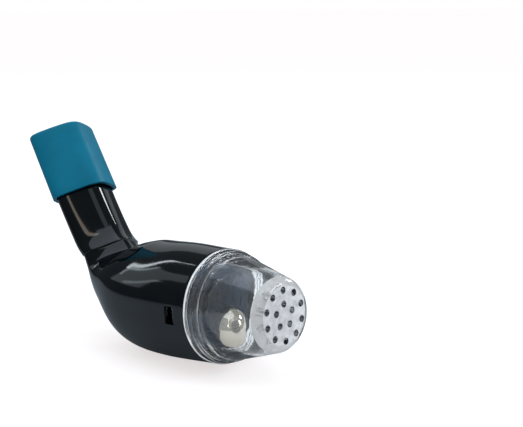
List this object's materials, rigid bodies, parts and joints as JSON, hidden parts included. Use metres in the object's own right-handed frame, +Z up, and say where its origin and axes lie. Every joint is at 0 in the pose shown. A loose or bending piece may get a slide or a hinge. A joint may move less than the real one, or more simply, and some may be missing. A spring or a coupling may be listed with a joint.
{
  "type": "positive expiratory pressure device",
  "caption": "Hand-held breathing trainer: capped oval mouth stem on an egg-shaped bowl, steel ball on a funnel seat under a clear perforated cover.",
  "frame": {"origin": "middle of the small flat under the bowl that the device stands on", "axes": "+X towards the clear cover, +Y to the left of it, +Z up; XZ is the plane of symmetry"},
  "size_m": [0.1514, 0.0488, 0.0944],
  "materials": {
    "black_abs": "gloss moulded",
    "teal_cap": "satin moulded",
    "seat_plastic": "satin moulded",
    "ball_steel": "polished",
    "clear_plastic": "clear moulded"
  },
  "bodies": {
    "body": {"bowl": "black_abs", "stem": "black_abs"},
    "cap": {"mouthpiece_cap": "teal_cap"},
    "seat": {"cone_seat": "seat_plastic"},
    "cover": {"dome_cover": "clear_plastic"},
    "ball": {"ball": "ball_steel"}
  },
  "joints": [
    {"name": "cap_pull", "type": "slide", "parent": "body", "child": "cap", "axis": [-0.5417, 0, 0.8406], "range_m": [0, 0.036]},
    {"name": "seat_lift", "type": "slide", "parent": "body", "child": "seat", "axis": [0.9976, 0, 0.0698], "range_m": [0, 0.03]},
    {"name": "cover_pull", "type": "slide", "parent": "seat", "child": "cover", "axis": [0.9976, 0, 0.0698], "range_m": [0, 0.034]},
    {"name": "ball_roll", "type": "slide", "parent": "seat", "child": "ball", "axis": [-0.8988, 0, 0.4384], "range_m": [0, 0.0186]}
  ]
}
